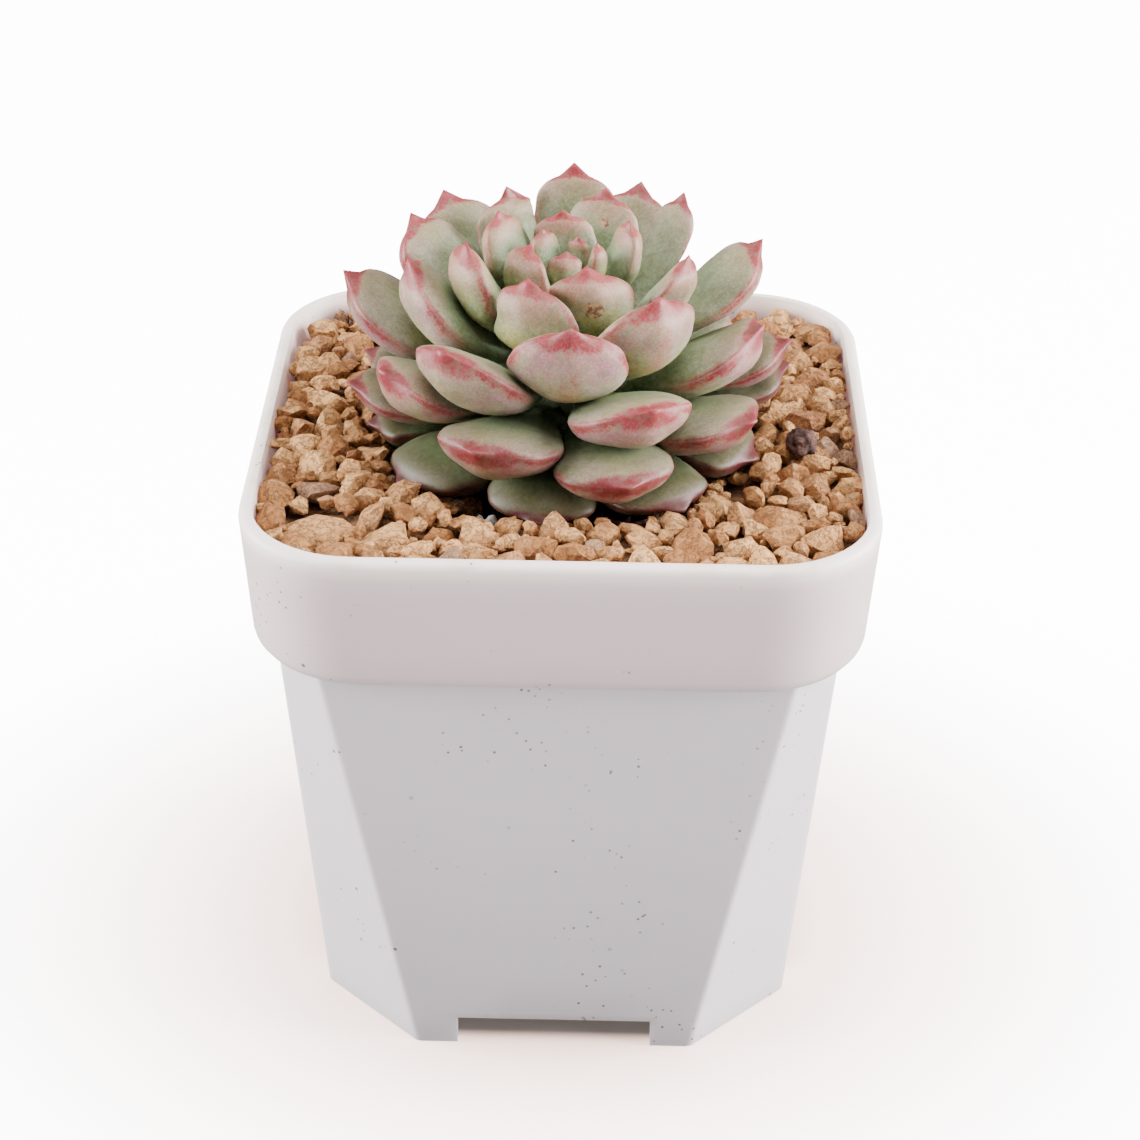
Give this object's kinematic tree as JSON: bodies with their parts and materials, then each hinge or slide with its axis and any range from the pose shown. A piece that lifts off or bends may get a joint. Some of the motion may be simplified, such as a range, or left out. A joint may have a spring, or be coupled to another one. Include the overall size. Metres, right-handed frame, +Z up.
{
  "type": "potted succulent",
  "caption": "Small rosette succulent with plump pointed leaves growing in a square tapered plastic pot dressed with gravel.",
  "frame": {"origin": "centre of the pot's foot, on the surface it stands on", "axes": "+Z up, -Y towards the viewer, +X to the viewer's right; the pot's four sides face +X, -X, +Y and -Y"},
  "size_m": [0.07, 0.07, 0.0937],
  "materials": {
    "white_plastic": "satin",
    "soil": "matte",
    "gravel": "matte",
    "bark": "matte",
    "stem": "matte",
    "leaf_skin": "satin"
  },
  "bodies": {
    "root": {"pot": "white_plastic", "potting_soil": "soil", "gravel_top": "gravel", "bark_chip": "bark", "stem": "stem", "leaf_01": "leaf_skin", "leaf_02": "leaf_skin", "leaf_03": "leaf_skin", "leaf_04": "leaf_skin", "leaf_05": "leaf_skin", "leaf_06": "leaf_skin", "leaf_07": "leaf_skin", "leaf_08": "leaf_skin", "leaf_09": "leaf_skin", "leaf_10": "leaf_skin", "leaf_11": "leaf_skin", "leaf_12": "leaf_skin", "leaf_13": "leaf_skin", "leaf_14": "leaf_skin", "leaf_15": "leaf_skin", "leaf_16": "leaf_skin", "leaf_17": "leaf_skin", "leaf_18": "leaf_skin", "leaf_19": "leaf_skin", "leaf_20": "leaf_skin", "leaf_21": "leaf_skin", "leaf_22": "leaf_skin", "leaf_23": "leaf_skin", "leaf_24": "leaf_skin", "leaf_25": "leaf_skin", "leaf_26": "leaf_skin", "leaf_27": "leaf_skin", "leaf_28": "leaf_skin", "leaf_29": "leaf_skin", "leaf_30": "leaf_skin", "leaf_31": "leaf_skin", "leaf_32": "leaf_skin", "leaf_33": "leaf_skin", "leaf_34": "leaf_skin", "leaf_35": "leaf_skin", "leaf_36": "leaf_skin", "leaf_37": "leaf_skin", "leaf_38": "leaf_skin", "leaf_39": "leaf_skin", "leaf_40": "leaf_skin", "leaf_41": "leaf_skin", "leaf_42": "leaf_skin", "leaf_43": "leaf_skin", "leaf_44": "leaf_skin", "leaf_45": "leaf_skin", "leaf_46": "leaf_skin", "leaf_47": "leaf_skin", "leaf_48": "leaf_skin", "leaf_49": "leaf_skin", "leaf_50": "leaf_skin", "leaf_51": "leaf_skin"}
  },
  "joints": []
}
